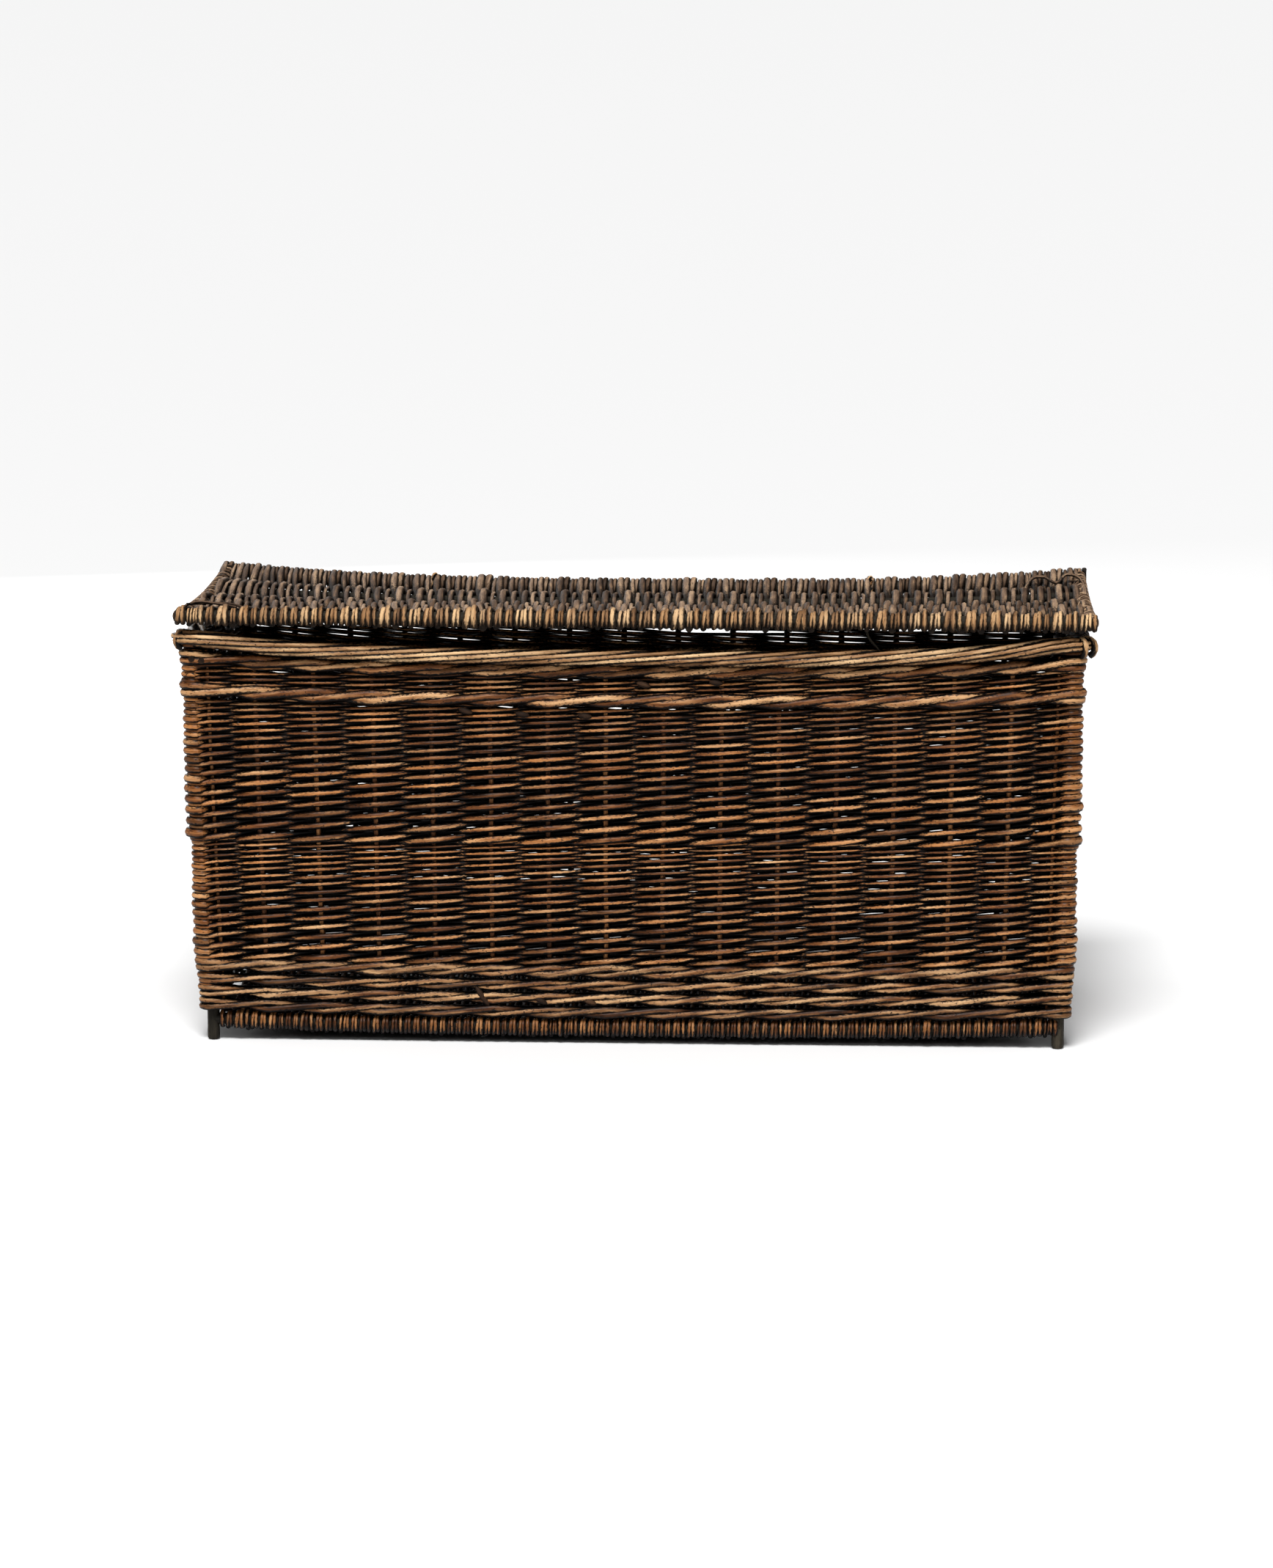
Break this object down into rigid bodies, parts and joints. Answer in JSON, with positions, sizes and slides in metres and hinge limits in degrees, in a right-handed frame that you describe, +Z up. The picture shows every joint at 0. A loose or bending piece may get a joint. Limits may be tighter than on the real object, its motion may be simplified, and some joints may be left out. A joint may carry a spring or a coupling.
{
  "type": "wicker log basket",
  "caption": "Long rectangular willow log basket on four short corner-post feet, with a flat woven lid that swings up on willow loops along its back edge.",
  "frame": {"origin": "on the floor, under the middle of the basket", "axes": "+X along the basket's length to the right as seen from the front, +Y towards the hinge side at the back, +Z up"},
  "size_m": [0.9146, 0.4416, 0.4411],
  "materials": {
    "brown_willow": "varnished brown willow rods, darker in the weave",
    "buff_willow": "paler golden willow rods, satin",
    "weathered_willow": "dusty grey-brown willow rods",
    "unpeeled_stick": "dark willow sticks, matt"
  },
  "bodies": {
    "basket": {"base_weave": "brown_willow", "base_stick_1": "unpeeled_stick", "base_stick_2": "unpeeled_stick", "base_stick_3": "unpeeled_stick", "base_stick_4": "unpeeled_stick", "corner_post_front_left": "unpeeled_stick", "corner_post_front_right": "unpeeled_stick", "corner_post_back_left": "unpeeled_stick", "corner_post_back_right": "unpeeled_stick", "stake_front_01": "unpeeled_stick", "stake_front_02": "unpeeled_stick", "stake_front_03": "unpeeled_stick", "stake_front_04": "unpeeled_stick", "stake_front_05": "unpeeled_stick", "stake_front_06": "unpeeled_stick", "stake_front_07": "unpeeled_stick", "stake_front_08": "unpeeled_stick", "stake_front_09": "unpeeled_stick", "stake_front_10": "unpeeled_stick", "stake_front_11": "unpeeled_stick", "stake_front_12": "unpeeled_stick", "stake_front_13": "unpeeled_stick", "stake_front_14": "unpeeled_stick", "stake_right_01": "unpeeled_stick", "stake_right_02": "unpeeled_stick", "stake_right_03": "unpeeled_stick", "stake_right_04": "unpeeled_stick", "stake_back_01": "unpeeled_stick", "stake_back_02": "unpeeled_stick", "stake_back_03": "unpeeled_stick", "stake_back_04": "unpeeled_stick", "stake_back_05": "unpeeled_stick", "stake_back_06": "unpeeled_stick", "stake_back_07": "unpeeled_stick", "stake_back_08": "unpeeled_stick", "stake_back_09": "unpeeled_stick", "stake_back_10": "unpeeled_stick", "stake_back_11": "unpeeled_stick", "stake_back_12": "unpeeled_stick", "stake_back_13": "unpeeled_stick", "stake_back_14": "unpeeled_stick", "stake_left_01": "unpeeled_stick", "stake_left_02": "unpeeled_stick", "stake_left_03": "unpeeled_stick", "stake_left_04": "unpeeled_stick", "base_wale": "brown_willow", "lower_randing": "brown_willow", "upper_randing": "brown_willow", "rim_wale": "brown_willow", "border": "buff_willow"},
    "lid": {"lid_weave": "weathered_willow", "lid_end_pairing_left": "weathered_willow", "lid_end_pairing_right": "weathered_willow", "lid_stick_1": "unpeeled_stick", "lid_stick_2": "unpeeled_stick", "lid_stick_3": "unpeeled_stick", "lid_stick_4": "unpeeled_stick", "lid_stick_5": "unpeeled_stick", "hinge_loop_left": "buff_willow", "hinge_loop_right": "buff_willow"}
  },
  "joints": [
    {"name": "lid_hinge", "type": "hinge", "parent": "basket", "child": "lid", "pos_m": [0, 0.2025, 0.39411], "axis": [-1, 0, 0], "range_deg": [0, 110]}
  ]
}
